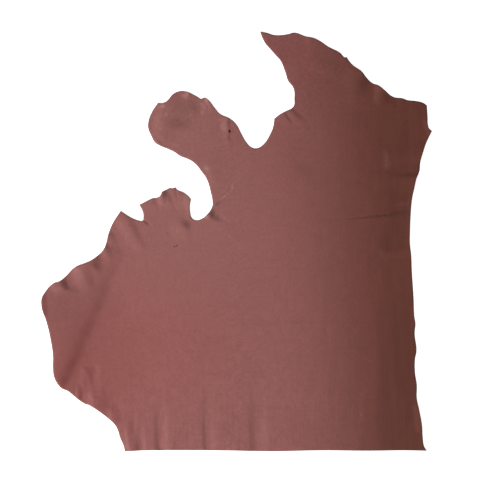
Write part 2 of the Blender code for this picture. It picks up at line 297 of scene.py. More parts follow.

# Scars, scuffs and stains on the grain side, and painted shade and light on the sides of its folds,
# creases and rims, by what they do to its colour
MARKS = {
    # name, middle, length, width, bearing, strength
    Tone.DARKER: (
        # Foreleg
        # Painted shade in the pit and along the slit through it
        Mark("painted shade in the pit of the foreleg", (291.8, 894.3), 11.5, 8, 100, 2.4),
        Mark("shade above the pit", (291, 913), 30, 5, 88, 0.3),
        Mark("shade below the pit", (290, 876), 26, 7, 92, 0.3),
        Mark("dark foreleg rim", (97, 864), 38, 9, -42, 0.35),
        # Partly a stain and partly painted shade of a broad hollow
        Mark("darkest patch of the foreleg", (150, 916), 96, 50, -12, 0.28),
        Mark("dark patch of the foreleg", (165, 952), 110, 84, -30, 0.16),
        Mark("dark top of the foreleg", (191, 966), 66, 34, -58, 0.2),
        Mark("fine line across the foreleg", (172, 952), 76, 5, 105, 0.16),
        # Crescent notch, lobe and small notch
        # Painted shade at the roots, hollows, pleats and turned edges of the crescent, lobe and small
        # notch
        Mark("painted shade in the root of the crescent", (250, 657), 54, 34, -35, 0.42),
        Mark("painted shade beside the crescent crease", (259, 692), 32, 12, 38, 0.3),
        Mark("painted shade on the turned edge of the lobe", (110, 716), 26, 16, 65, 0.3),
        Mark("painted shade in the hollow of the lobe", (125, 706), 46, 24, -50, 0.14),
        Mark("painted shade at the root of the lobe", (171, 634), 44, 30, -25, 0.34),
        Mark("painted shade in the pleat of the small notch", (59, 639), 26, 11, -42, 0.45),
        # Flank and belly
        Mark("short scar", (118, 609), 8, 4, 10, 0.8),
        Mark("left arm of the hooked scar", (137, 572), 9, 3.6, -35, 0.9),
        Mark("right arm of the hooked scar", (144, 574), 11, 4.2, 35, 1.0),
        # Painted shade in the hollows, pocket, rim and step of the flank, and broadly over the flank
        Mark("painted shade by the flank crest", (-84, 518), 40, 26, -40, 0.3),
        Mark("painted shade in the flank hollow", (-170, 466), 48, 28, -60, 0.35),
        Mark("tail of the painted shade in the flank hollow", (-148, 452), 60, 24, -15, 0.18),
        Mark("painted shade of the rim by the flank hollow", (-196, 468), 34, 22, 55, 0.18),
        Mark("shade on the flank rim", (-133, 516), 26, 16, -40, 0.15),
        Mark("painted shade over the flank", (-160, 400), 420, 300, 75, 0.2),
        Mark("upper painted shade of the flank step", (-149, 246), 42, 30, 60, 0.12),
        Mark("lower painted shade of the flank step", (-169, 198), 34, 28, 30, 0.16),
        # Painted shade on the shaded sides of the ripples and troughs at the knife cut
        Mark("painted shade of the ripple at the cut", (92, 12), 60, 15, 92, 0.14),
        Mark("painted shade by the first trough", (45, 14), 56, 14, 92, 0.15),
        Mark("painted shade of the trough at the cut", (360, 60), 170, 20, 92, 0.1),
        Mark("painted shade on the second trough", (88, 90), 130, 16, 92, 0.08),
        Mark("painted shade on the third trough", (222, 112), 160, 18, 92, 0.1),
        Mark("painted shade on the widest trough", (354, 128), 210, 24, 92, 0.1),
        # Neck, throat and shoulder
        Mark("shade of the throat pleat", (457, 930), 50, 11, -52, 0.3),
        Mark("shade of the pleat by the neck", (486, 938), 60, 17, -42, 0.26),
        # Painted shade along the tail of the pleat
        Mark("painted shade in the tail of the pleat by the neck", (511, 905), 62, 13, -56, 0.08),
        Mark("small stain behind the throat", (469, 817), 34, 24, 60, 0.08),
        Mark("stain behind the throat", (503, 783), 110, 60, -20, 0.1),
        Mark("lower stain behind the throat", (545, 748), 60, 40, 20, 0.06),
        # Painted shade in the shoulder hollow and by the shoulder edge, on slopes facing away from the
        # light
        Mark("painted shade in the shoulder hollow", (666, 1027), 64, 44, -35, 0.2),
        Mark("soft shade in the shoulder", (648, 1007), 80, 40, -8, 0.08),
        Mark("painted shade by the shoulder edge", (736, 982), 40, 30, -60, 0.27),
        # Backbone
        # Painted shade along the step of the first backbone crease and in the pressed backbone line
        Mark("painted shade on the step of the first backbone crease", (790, 771), 90, 20, 5, 0.16),
        Mark("painted shade at the thin end of the first backbone crease", (702, 780), 50, 7, 22, 0.2),
        Mark("line at the rim of the backbone", (766, 667), 110, 13, 9, 0.34),
        Mark("line in the backbone", (712, 658), 120, 13, 6, 0.34),
        Mark("end of the line in the backbone", (652, 651), 96, 7, 5, 0.3),
        Mark("dull strip by the backbone", (726, 586), 90, 44, 90, 0.2),
        Mark("dull upper backbone", (752, 700), 460, 110, 88, 0.1),
        Mark("dull lower backbone", (734, 225), 620, 90, 91, 0.17),
        Mark("dull rim of the lower backbone", (786, 235), 620, 80, 92, 0.17),
        Mark("dull corner of the backbone", (728, 30), 220, 170, 90, 0.12),
    ),
    Tone.PALER: (
        # Foreleg
        # Painted highlight on the lip of the pit
        Mark("painted highlight left of the pit", (277, 907), 44, 30, 80, 0.22),
        # Painted light on the lit sides of the foreleg ridges and its rolled rim
        Mark("painted light on the foreleg ridge", (165, 992), 22, 18, -20, 0.5),
        Mark("painted light on the rolled foreleg corner", (104, 964), 22, 16, 10, 0.5),
        Mark("painted light on the rolled rim below the foreleg corner", (114, 940), 22, 13, 80, 0.2),
        Mark("first painted light on the ridge by the foreleg nick", (219, 966), 24, 18, 110, 0.5),
        Mark("second painted light on the ridge by the foreleg nick", (216, 948), 22, 14, 60, 0.3),
        Mark("third painted light on the ridge by the foreleg nick", (226, 980), 18, 12, 20, 0.35),
        Mark("scuff in the dark of the foreleg", (182, 939), 20, 12, 40, 0.2),
        # Painted light on the lit side of the rolled foreleg end
        Mark("painted light on the rolled foreleg end", (92, 912), 100, 44, 100, 0.08),
        Mark("worn foreleg rim", (139, 854), 30, 18, -30, 0.16),
        # Crescent notch, lobe and small notch
        Mark("worn crescent rim", (225, 790), 38, 20, 118, 0.32),
        # Painted highlight on the lit side of the raised crease in the crescent
        Mark("painted highlight on the crescent crease", (277, 712), 46, 9, 42, 0.3),
        Mark("end of the painted highlight on the crescent crease", (299, 738), 34, 9, 75, 0.3),
        # Flank and belly
        Mark("line before the short scar", (97, 610), 24, 3, 0, 0.15),
        # Painted light on the lit sides of the troughs at the knife cut
        Mark("painted light on the second trough", (110, 92), 160, 26, 92, 0.07),
        Mark("painted light on the third trough", (243, 105), 200, 32, 91, 0.06),
        Mark("painted light on the widest trough", (389, 105), 210, 38, 90, 0.05),
        # Painted light on the lit side of the middle belly roll
        Mark("painted light on the belly roll", (-106, 151), 36, 24, 60, 0.15),
        Mark("pale line of the belly", (-70, 184), 74, 15, 95, 0.08),
        # Painted light on the lit sides of the low belly roll and the roll of the belly corner
        Mark("painted light on the low belly roll", (-48, 104), 38, 20, 105, 0.12),
        Mark("painted light on the roll of the belly corner", (-8, 30), 56, 20, 110, 0.12),
        # Neck, throat and shoulder
        Mark("speck by the neck edge", (457, 1158), 5, 4, 0, 0.5),
        Mark("pale neck", (466, 1066), 90, 50, 100, 0.06),
        # Backbone
        # Painted light on the lit side of a backbone bulge and above the pressed backbone line
        Mark("upper painted light on the backbone bulge", (729, 825), 48, 26, 92, 0.09),
        Mark("lower painted light on the backbone bulge", (732, 801), 40, 30, 80, 0.1),
        Mark("painted light above the pressed backbone line", (774, 690), 66, 13, 8, 0.06),
        Mark("scratch near the backbone", (679, 254), 34, 7, -31, 0.07),
        Mark("speck near the backbone", (660, 100), 22, 12, 80, 0.06),
    ),
    Tone.FULLER: (
        # Flank and belly
        Mark("full dye of the belly", (-165, 225), 620, 500, 100, 0.4),
        # Neck, throat and shoulder
        Mark("full dye of the neck", (450, 1100), 360, 240, -55, 0.17),
        Mark("full dye behind the throat", (440, 800), 260, 200, 60, 0.05),
    ),
    Tone.REDDER: (
        # Flank and belly
        Mark("red belly", (60, 300), 720, 660, 0, 0.12),
    ),
    Tone.LIGHTER: (
        # Foreleg
        Mark("light foreleg", (150, 945), 320, 270, -20, 0.1),
        # Flank and belly
        Mark("light flank", (180, 690), 780, 560, 95, 0.11),
    ),
}

MOTTLES = (
    # name, across, along, octaves, depth, zone
    Mottle("clouds of the dye", 70, 70, 2, 0.02, Zone.ALL),
    Mottle("patches of the dye", 24, 24, 2, 0.03, Zone.ALL),
    Mottle("speckle of the dye", 8, 8, 4, 0.05, Zone.ALL),
    Mottle("rougher speckle of the belly side", 7, 8, 4, 0.045, Zone.FRONT),
    Mottle("loose grain of the belly", 15, 24, 3, 0.06, Zone.BELLY),
    Mottle("loose grain of the limbs", 8, 9, 4, 0.085, Zone.LIMBS),
    # Painted shade and light of fine ripples that rise from the cut
    Mottle("painted shade and light of ripples rising from the cut", 5, 90, 2, 0.05, Zone.CUT),
    Mottle("fine streaks along the backbone", 6, 130, 3, 0.04, Zone.BACK),
    Mottle("broad streaks along the backbone", 22, 170, 2, 0.05, Zone.BACK),
)


def linear(colour: str) -> tuple[float, float, float, float]:
    """Turns an sRGB hex colour to linear values.

    Args:
        colour: Colour as "#rrggbb".

    Returns:
        Linear red, green, blue and an alpha of 1.
    """
    values = []
    # The sRGB curve has a straight foot below a power curve
    for place in (1, 3, 5):
        share = int(colour[place:place + 2], 16) / 255
        values.append(share / 12.92 if share <= 0.04045 else ((share + 0.055) / 1.055) ** 2.4)
    return values[0], values[1], values[2], 1.0


def add_node(tree: bpy.types.NodeTree, kind: str, settings: dict[str, Any] | None = None,
             values: dict[Any, Any] | None = None, links: dict[Any, Any] | None = None) -> bpy.types.Node:
    """Adds a node with its settings, socket values and links.

    Args:
        tree: Node tree that gets the node.
        kind: Node type, without the words ShaderNode.
        settings: Properties of the node itself.
        values: Input sockets, by name or number, and their values.
        links: Input sockets, by name or number, and the output sockets that feed them.

    Returns:
        The new node.
    """
    node = tree.nodes.new("ShaderNode" + kind)
    for name, setting in (settings or {}).items():
        setattr(node, name, setting)
    for name, value in (values or {}).items():
        node.inputs[name].default_value = value
    for name, socket in (links or {}).items():
        tree.links.new(socket, node.inputs[name])
    return node


def new_material(name: str) -> tuple[bpy.types.Material, bpy.types.NodeTree, bpy.types.Node]:
    """Makes an empty material.

    Args:
        name: Name of the material.

    Returns:
        The material, its node tree and its shader node, which is already linked to the output.
    """
    material = bpy.data.materials.new(name)
    material.use_nodes = True
    tree = material.node_tree
    tree.nodes.clear()
    shader = add_node(tree, "BsdfPrincipled")
    add_node(tree, "OutputMaterial", links={"Surface": shader.outputs[0]})
    return material, tree, shader


@dataclass(frozen=True)
class GrainFinish:
    """Full grain cowhide, drum dyed and lightly waxed.

    The eye gets a fine pebble with a low satin sheen, a faint mottle in the dye, a slow drift from a
    rosy belly to a deeper and redder backbone, partly dye and partly painted shade where the light
    falls off towards the backbone, scars that the dye took darker or paler, and painted shade and
    light on the sides of folds, creases and rims and in the pit.
    """

    belly_colour: str = "#915955"
    back_dye_and_shade_colour: str = "#67372b"
    # Darker marks, stains, scars and the painted shade of folds and the pit, drift to this colour; paler
    # marks, scuffs and the painted light of folds, to the next
    dark_colour: str = "#2a100d"
    pale_colour: str = "#bd8c86"
    # Colours towards which broad places drift that took more dye or stayed redder
    full_colour: str = "#73241b"
    red_colour: str = "#a52821"
    # Where the belly colour starts to turn to that of the backbone and ends, and how that line slants;
    # the darkening towards the backbone is partly dye and partly painted shade of the light falling off
    drift_from: float = 70 * MM
    drift_to: float = 475 * MM
    drift_slant: float = 0.06
    # Heights in the frame, in metres, between which the painted shade and light of fine ripples by the
    # cut, and the loose belly, fade
    cut_reach: tuple[float, float] = (-0.57, -0.30)
    belly_reach: tuple[float, float] = (-0.45, 0.10)
    # Slant of the line past which the limbs lie, and the distances over which they come up
    limb_slant: float = -0.5
    limb_reach: tuple[float, float] = (0.06, 0.36)
    # Levels that most of a noise lies between
    noise_middle: tuple[float, float] = (0.3, 0.7)
    # Growth wrinkles that net the belly: size of a cell and of its bends, width of a line in cells,
    # how much paler it is, the noise levels between which patches of the net come up, and the
    # octaves of its bends and patches
    net_cell: float = 38 * MM
    net_bend: float = 26 * MM
    net_width: float = 0.05
    net_depth: float = 0.05
    net_patches: tuple[float, float] = (0.45, 0.6)
    net_octaves: tuple[float, float] = (2.0, 1.0)
    # A real grain is 0.5 to 1 mm across, and is drawn about twice as coarse so that it shows
    grain_size: float = 1.8 * MM
    grain_softness: float = 0.6
    wrinkle_size: float = 7 * MM
    wrinkle_octaves: float = 5.0
    wrinkle_bend: float = 0.4
    # Strength and height of the bumps
    grain_bump: tuple[float, float] = (0.22, 0.25 * MM)
    wrinkle_bump: tuple[float, float] = (0.35, 0.6 * MM)
    # Wear breaks up the marks: size of its spots, and weakest and strongest share of a mark
    wear_size: float = 8 * MM
    wear_octaves: float = 3.0
    wear_share: tuple[float, float] = (0.5, 1.5)
    roughness: tuple[float, float] = (0.54, 0.68)
    ior: float = 1.46
    specular: float = 0.35

    def mark_sum(self, tree: bpy.types.NodeTree, place: bpy.types.NodeSocket, origin: Vector,
                 tone: Tone) -> bpy.types.NodeSocket:
        """Adds up all marks of one tone.

        Args:
            tree: Node tree of the finish.
            place: Object coordinates.
            origin: Place in the frame of the left end of the knife cut.
            tone: Which marks to add up.

        Returns:
            Socket with the sum, from 0 where there is no mark.
        """
        total = None
        for mark in MARKS[tone]:
            mark_place = add_node(
                tree, "Mapping", {"vector_type": "TEXTURE", "label": mark.name},
                {
                    "Location": (origin.x + mark.middle[0] * MM, origin.y + mark.middle[1] * MM, 0.0),
                    "Rotation": (0.0, 0.0, math.radians(mark.bearing)),
                    "Scale": (mark.length / 2 * MM, mark.width / 2 * MM, 1.0),
                },
                {"Vector": place},
            )
            spot = add_node(tree, "TexGradient", {"gradient_type": "SPHERICAL"},
                            links={"Vector": mark_place.outputs[0]})
            join = add_node(tree, "Math", {"operation": "MULTIPLY_ADD"}, {1: mark.strength, 2: 0.0},
                            {0: spot.outputs["Fac"]})
            if total is not None:
                tree.links.new(total, join.inputs[2])
            total = join.outputs[0]
        return total

    def zones(self, tree: bpy.types.NodeTree,
              place: bpy.types.NodeSocket) -> dict[Zone, bpy.types.NodeSocket]:
        """Makes the share, from 0 to 1, with which each zone shows.

        Args:
            tree: Node tree of the finish.
            place: Object coordinates.

        Returns:
            Socket with the share, by zone.
        """
        axes = add_node(tree, "SeparateXYZ", links={0: place})
        way = add_node(tree, "Math", {"operation": "MULTIPLY_ADD"}, {1: self.drift_slant},
                       {0: axes.outputs[1], 2: axes.outputs[0]})
        back = add_node(tree, "MapRange", {"interpolation_type": "SMOOTHSTEP"},
                        {"From Min": self.drift_from, "From Max": self.drift_to}, {0: way.outputs[0]})
        front = add_node(tree, "Math", {"operation": "SUBTRACT"}, {0: 1.0}, {1: back.outputs[0]})
        near_cut, low = (
            add_node(tree, "MapRange", {"interpolation_type": "SMOOTHSTEP"},
                     {"From Min": reach[0], "From Max": reach[1], "To Min": 1.0, "To Max": 0.0},
                     {0: axes.outputs[1]})
            for reach in (self.cut_reach, self.belly_reach)
        )
        belly = add_node(tree, "Math", {"operation": "MULTIPLY"},
                         links={0: front.outputs[0], 1: low.outputs[0]})
        up = add_node(tree, "Math", {"operation": "MULTIPLY_ADD"}, {1: self.limb_slant},
                      {0: axes.outputs[0], 2: axes.outputs[1]})
        limbs = add_node(tree, "MapRange", {"interpolation_type": "SMOOTHSTEP"},
                         {"From Min": self.limb_reach[0], "From Max": self.limb_reach[1]},
                         {0: up.outputs[0]})
        whole = add_node(tree, "Value")
        whole.outputs[0].default_value = 1.0
        return {Zone.ALL: whole.outputs[0], Zone.FRONT: front.outputs[0], Zone.BACK: back.outputs[0],
                Zone.CUT: near_cut.outputs[0], Zone.BELLY: belly.outputs[0],
                Zone.LIMBS: limbs.outputs[0]}

    def dye(self, tree: bpy.types.NodeTree, place: bpy.types.NodeSocket) -> bpy.types.NodeSocket:
        """Makes the dyed colour without its marks, with the drift towards the backbone that is partly
        painted shade.

        Args:
            tree: Node tree of the finish.
            place: Object coordinates.

        Returns:
            Socket with the colour.
        """
        zones = self.zones(tree, place)
        # Drift from the belly to the backbone colour, partly dye and partly painted shade of the light
        # falling off towards the backbone
        colour = add_node(tree, "Mix", {"data_type": "RGBA"},
                          {6: linear(self.belly_colour), 7: linear(self.back_dye_and_shade_colour)},
                          {0: zones[Zone.BACK]})
        shade = self.net(tree, place, zones[Zone.FRONT])
        for mottle in MOTTLES:
            scaled = add_node(tree, "VectorMath", {"operation": "MULTIPLY", "label": mottle.name},
                              {1: (1 / (mottle.across * MM), 1 / (mottle.along * MM), 0.0)}, {0: place})
            noise = add_node(tree, "TexNoise", values={"Scale": 1.0, "Detail": mottle.octaves},
                             links={"Vector": scaled.outputs[0]})
            swing = add_node(tree, "MapRange",
                             values={"From Min": self.noise_middle[0], "From Max": self.noise_middle[1],
                                     "To Min": -mottle.depth, "To Max": mottle.depth},
                             links={0: noise.outputs[0]})
            factor = add_node(tree, "Math", {"operation": "MULTIPLY_ADD"}, {2: 1.0},
                              {0: swing.outputs[0], 1: zones[mottle.zone]})
            shade = add_node(tree, "Math", {"operation": "MULTIPLY"},
                             links={0: shade, 1: factor.outputs[0]}).outputs[0]
        return add_node(tree, "VectorMath", {"operation": "SCALE"},
                        links={0: colour.outputs[2], "Scale": shade}).outputs[0]

    def net(self, tree: bpy.types.NodeTree, place: bpy.types.NodeSocket,
            front: bpy.types.NodeSocket) -> bpy.types.NodeSocket:
        """Makes the net of thin pale growth lines, which fades towards the backbone.

        Args:
            tree: Node tree of the finish.
            place: Object coordinates.
            front: Share from 1 at the belly to 0 at the backbone.

        Returns:
            Socket with a factor of 1 or a little more.
        """
        bend_octaves, patch_octaves = self.net_octaves
        bend = add_node(tree, "TexNoise", values={"Scale": 1 / self.net_bend, "Detail": bend_octaves},
                        links={"Vector": place})
        bent = add_node(tree, "VectorMath", {"operation": "MULTIPLY_ADD"}, {1: (self.net_bend,) * 3},
                        {0: bend.outputs["Color"], 2: place})
        cells = add_node(tree, "TexVoronoi", {"feature": "DISTANCE_TO_EDGE", "voronoi_dimensions": "2D"},
                         {"Scale": 1 / self.net_cell}, {"Vector": bent.outputs[0]})
        line = add_node(tree, "MapRange", {"interpolation_type": "SMOOTHSTEP"},
                        {"From Max": self.net_width, "To Min": self.net_depth, "To Max": 0.0},
                        {0: cells.outputs[0]})
        patches = add_node(tree, "TexNoise", values={"Scale": 1 / self.net_cell, "Detail": patch_octaves},
                           links={"Vector": place})
        shown = add_node(tree, "MapRange",
                         values={"From Min": self.net_patches[0], "From Max": self.net_patches[1]},
                         links={0: patches.outputs[0]})
        strength = add_node(tree, "Math", {"operation": "MULTIPLY"},
                            links={0: line.outputs[0], 1: shown.outputs[0]})
        factor = add_node(tree, "Math", {"operation": "MULTIPLY_ADD"}, {2: 1.0},
                          {0: strength.outputs[0], 1: front})
        return factor.outputs[0]

    def build(self, origin: Vector) -> bpy.types.Material:
        """Makes the material.

        Args:
            origin: Place in the frame of the left end of the knife cut.

        Returns:
            The finished material.
        """
        material, tree, shader = new_material("full_grain_cowhide")
        place = add_node(tree, "TexCoord").outputs["Object"]
        place = add_node(tree, "VectorMath", {"operation": "MULTIPLY"}, {1: (1.0, 1.0, 0.0)},
                         {0: place}).outputs[0]
        rubbed = add_node(tree, "TexNoise",
                          values={"Scale": 1 / self.wear_size, "Detail": self.wear_octaves},
                          links={"Vector": place})
        uneven = add_node(tree, "MapRange",
                          values={"From Min": self.noise_middle[0], "From Max": self.noise_middle[1],
                                  "To Min": self.wear_share[0], "To Max": self.wear_share[1]},
                          links={0: rubbed.outputs[0]})
        colour = self.dye(tree, place)
        shades = {Tone.REDDER: self.red_colour, Tone.FULLER: self.full_colour,
                  Tone.LIGHTER: self.pale_colour, Tone.PALER: self.pale_colour,
                  Tone.DARKER: self.dark_colour}
        # Mix in the marks: real stains, scars and scuffs, and the painted shade and light of folds,
        # creases and the pit
        for tone, shade in shades.items():
            share = self.mark_sum(tree, place, origin, tone)
            if tone in WORN_TONES:
                share = add_node(tree, "Math", {"operation": "MULTIPLY", "use_clamp": True},
                                 links={0: share, 1: uneven.outputs[0]}).outputs[0]
            colour = add_node(tree, "Mix", {"data_type": "RGBA"}, {7: linear(shade)},
                              {0: share, 6: colour}).outputs[2]
        tree.links.new(colour, shader.inputs["Base Color"])

        pebble = add_node(tree, "TexVoronoi", {"feature": "SMOOTH_F1"},
                          {"Scale": 1 / self.grain_size, "Smoothness": self.grain_softness},
                          {"Vector": place})
        wrinkle = add_node(tree, "TexNoise",
                           values={"Scale": 1 / self.wrinkle_size, "Detail": self.wrinkle_octaves,
                                   "Distortion": self.wrinkle_bend},
                           links={"Vector": place})
        relief = add_node(tree, "Bump",
                          values={"Strength": self.grain_bump[0], "Distance": self.grain_bump[1]},
                          links={"Height": pebble.outputs["Distance"]})
        relief = add_node(tree, "Bump",
                          values={"Strength": self.wrinkle_bump[0], "Distance": self.wrinkle_bump[1]},
                          links={"Height": wrinkle.outputs[0], "Normal": relief.outputs[0]})
        tree.links.new(relief.outputs[0], shader.inputs["Normal"])
        satin = add_node(tree, "MapRange",
                         values={"To Min": self.roughness[0], "To Max": self.roughness[1]},
                         links={0: wrinkle.outputs[0]})
        tree.links.new(satin.outputs[0], shader.inputs["Roughness"])
        shader.inputs["IOR"].default_value = self.ior
        shader.inputs["Specular IOR Level"].default_value = self.specular
        return material


@dataclass(frozen=True)
class FleshFinish:
    """Split flesh side of chrome tanned cowhide, shaved to thickness.

    The eye gets a matt, fuzzy nap, paler and browner than the grain, with brushed fibres.
    """

    name: str = "suede_flesh_side"
    dark_colour: str = "#6f4c3e"
    pale_colour: str = "#8d6a58"
    fibre_size: float = 2.5 * MM
    fibre_octaves: float = 6.0
    fibre_bend: float = 1.2
    # Size of the patches in which the fibres lie darker, or 0 where they lie evenly
    patch_size: float = 60 * MM
    patch_octaves: float = 2.0
    # Noise levels from the darker to the paler fibres, and strength and height of the nap
    fibre_spread: tuple[float, float] = (0.15, 0.35)
    nap_bump: tuple[float, float] = (0.6, 0.4 * MM)
    roughness: float = 0.95
    nap_sheen: float = 0.25
    nap_roughness: float = 0.6

    def build(self) -> bpy.types.Material:
        """Makes the material.

        Returns:
            The finished material.
        """
        material, tree, shader = new_material(self.name)
        place = add_node(tree, "TexCoord").outputs["Object"]
        fibre = add_node(tree, "TexNoise",
                         values={"Scale": 1 / self.fibre_size, "Detail": self.fibre_octaves,
                                 "Distortion": self.fibre_bend},
                         links={"Vector": place})
        share = fibre.outputs[0]
        if self.patch_size:
            patch = add_node(tree, "TexNoise",
                             values={"Scale": 1 / self.patch_size, "Detail": self.patch_octaves},
                             links={"Vector": place})
            share = add_node(tree, "Math", {"operation": "MULTIPLY"},
                             links={0: share, 1: patch.outputs[0]}).outputs[0]
        spread = add_node(tree, "MapRange",
                          values={"From Min": self.fibre_spread[0], "From Max": self.fibre_spread[1]},
                          links={0: share})
        colour = add_node(tree, "Mix", {"data_type": "RGBA"},
                          {6: linear(self.dark_colour), 7: linear(self.pale_colour)},
                          {0: spread.outputs[0]})
        tree.links.new(colour.outputs[2], shader.inputs["Base Color"])
        nap = add_node(tree, "Bump", values={"Strength": self.nap_bump[0], "Distance": self.nap_bump[1]},
                       links={"Height": fibre.outputs[0]})
        tree.links.new(nap.outputs[0], shader.inputs["Normal"])
        shader.inputs["Roughness"].default_value = self.roughness
        shader.inputs["Sheen Weight"].default_value = self.nap_sheen
        shader.inputs["Sheen Roughness"].default_value = self.nap_roughness
        return material


@dataclass(frozen=True)
class CutEdgeFinish(FleshFinish):
    """Raw edge of chrome tanned cowhide fibres, cut or torn, with no paint on it.

    The eye gets a dull brown line with darker and paler fibres, greyer than the grain. It is made as the
    flesh side is, from finer fibres that lie evenly, and with no sheen.
    """

    name: str = "raw_cut_leather_edge"
    dark_colour: str = "#4b352d"
    pale_colour: str = "#7c5a4b"
    fibre_size: float = 1.2 * MM
    fibre_octaves: float = 4.0
    fibre_bend: float = 0.0
    patch_size: float = 0.0
    fibre_spread: tuple[float, float] = (0.35, 0.65)
    nap_bump: tuple[float, float] = (0.5, 0.2 * MM)
    roughness: float = 0.85
    nap_sheen: float = 0.0


@dataclass(frozen=True)
class Outline:
    """The natural outline of the skin, in mm from the left end of the knife cut."""

    steps: int = 8

    def loop(self) -> np.ndarray:
        """Follows one closed curve through the rows of every stretch.

        Returns:
            Points around the rim, clockwise.
        """
        curve = bpy.data.curves.new("rim", "CURVE")
        curve.dimensions = "3D"
        curve.resolution_u = self.steps
        spline = curve.splines.new("BEZIER")
        spline.bezier_points.add(sum(len(stretch.rows) for stretch in RIM) - 1)
        spline.use_cyclic_u = True
        points = iter(spline.bezier_points)
        for stretch in RIM:
            for number, row in enumerate(stretch.rows):
                point = next(points)
                point.co = (row[0], row[1], 0.0)
                handles = stretch.starts.value if number == 0 else Turn.BEND.value
                point.handle_left_type = handles
                point.handle_right_type = handles
        guide = bpy.data.objects.new("rim", curve)
        bpy.context.scene.collection.objects.link(guide)
        bpy.context.view_layer.update()
        mesh = bpy.data.meshes.new_from_object(guide)
        loop = np.array([vertex.co[:2] for vertex in mesh.vertices])
        bpy.data.objects.remove(guide, do_unlink=True)
        bpy.data.meshes.remove(mesh)
        return loop

    def inset(self, loop: np.ndarray, distance: float) -> np.ndarray:
        """Moves a clockwise loop inwards.

        Args:
            loop: Points in mm.
            distance: How far to move them, in mm.

        Returns:
            The moved points.
        """
        way = np.roll(loop, -1, axis=0) - np.roll(loop, 1, axis=0)
        way /= np.linalg.norm(way, axis=1)[:, None]
        return loop + distance * np.column_stack((way[:, 1], -way[:, 0]))

    def origin(self, loop: np.ndarray) -> Vector:
        """Finds the left end of the knife cut in the frame: the rim fills the box of the solid.

        Args:
            loop: Points around the rim in mm.

        Returns:
            The place in metres, at the height of the floor.
        """
        low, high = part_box("hide")
        middle = (loop.min(axis=0) + loop.max(axis=0)) / 2 * MM
        return Vector(((low[0] + high[0]) / 2 - middle[0], (low[1] + high[1]) / 2 - middle[1], 0.0))


@dataclass(frozen=True)
class Lie:
    """How the skin lies: where its folds lift it, and the relief that creases add to its grain side."""

    # Height over which a fold leaves the floor gently, in mm
    settle: float = 1.2
    # Widest reach of a fold that gets fine cells, in mm, and how far past its reach they go
    narrow: float = 40.0
    fine_share: float = 1.2
    # Shortest distance that a place is taken to be from a fold, in mm, so that its side has a value
    least_away: float = 1e-9
    # Deepest that a crease may press the grain side, in mm
    deepest: float = 1.3
    # Sway of the folds: how far each wave moves a place, and how long it is
    sway_waves: tuple[tuple[float, float], ...] = ((1.6, 145.0), (0.7, 57.0))
    # Slow cockle of the grain side: wave length, bearing in degrees, height and start of each wave
    cockle: tuple[tuple[float, float, float, float], ...] = (
        (210.0, 20.0, 0.08, 0.0), (145.0, 75.0, 0.06, 1.3),
        (97.0, 130.0, 0.04, 2.6), (63.0, 165.0, 0.02, 0.7),
    )

    def swayed(self, places: np.ndarray) -> np.ndarray:
        """Moves places a little to and fro, so that no fold runs dead straight.

        Args:
            places: Places in mm, one (x, y) a row.

        Returns:
            The moved places.
        """
        moved = places.copy()
        for shift, length in self.sway_waves:
            moved += shift * np.sin(2.0 * math.pi * places[:, ::-1] / length)
        return moved

    def across(self, places: np.ndarray, fold: Fold) -> tuple[np.ndarray, np.ndarray, np.ndarray]:
        """Measures places against the line of a fold.

        Args:
            places: Swayed places in mm.
            fold: The fold.

        Returns:
            Share of the way along the line, distance from it in mm, and side from -1 (right) to 1 (left).
        """
        start = np.array(fold.start, float)
        line = np.array(fold.end, float) - start
        along = np.clip((places - start) @ line / (line @ line), 0.0, 1.0)
        offset = places - start - along[:, None] * line
        away = np.linalg.norm(offset, axis=1)
        cross = line[0] * offset[:, 1] - line[1] * offset[:, 0]
        side = cross / (np.linalg.norm(line) * np.maximum(away, self.least_away))
        return along, away, side

    def lift(self, places: np.ndarray, folds: tuple[Fold, ...]) -> np.ndarray:
        """Adds up the heights that folds give.

        Args:
            places: Swayed places in mm.
            folds: Folds to add up.

        Returns:
            Height in mm at each place.
        """
        total = np.zeros(len(places))
        for fold in folds:
            along, away, side = self.across(places, fold)
            reach = (fold.reach[0] + (fold.reach[1] - fold.reach[0]) * along) * (1.0 + fold.lean * side)
            height = fold.height[0] + (fold.height[1] - fold.height[0]) * along
            share = np.clip(away / reach, 0.0, 1.0)
            if fold.press is Press.SHARP:
                total += height * (1.0 - share) ** 2
            else:
                total += height * 0.5 * (1.0 + np.cos(math.pi * share))
        return total

    def flesh_height(self, places: np.ndarray) -> np.ndarray:
        """Finds the height of the flesh side: the folds, level with the floor where none lifts it.

        Args:
            places: Places in mm.

        Returns:
            Height in mm at each place.
        """
        total = self.lift(self.swayed(places), FOLDS)
        low = np.clip(total, 0.0, None) ** 2 / (2.0 * self.settle)
        return np.where(total < self.settle, low, total - self.settle / 2.0)

    def grain_relief(self, places: np.ndarray) -> np.ndarray:
        """Finds the height that the creases and the slow cockle add to the grain side.

        Args:
            places: Places in mm.

        Returns:
            Height in mm at each place.
        """
        relief = np.maximum(self.lift(self.swayed(places), CREASES), -self.deepest)
        for length, bearing, height, start in self.cockle:
            turn = math.radians(bearing)
            way = places @ np.array((math.cos(turn), math.sin(turn)))
            relief += height * np.sin(2.0 * math.pi * way / length + start)
        return relief

    def busy(self, places: np.ndarray) -> np.ndarray:
        """Tells which places lie in a narrow fold or crease, and need fine cells.

        Args:
            places: Places in mm.

        Returns:
            True or false for each place.
        """
        moved = self.swayed(places)
        near = np.zeros(len(places), bool)
        for fold in FOLDS + CREASES:
            if max(fold.reach) < self.narrow:
                widest = max(fold.reach) * (self.fine_share + abs(fold.lean))
                near |= self.across(moved, fold)[1] < widest
        return near


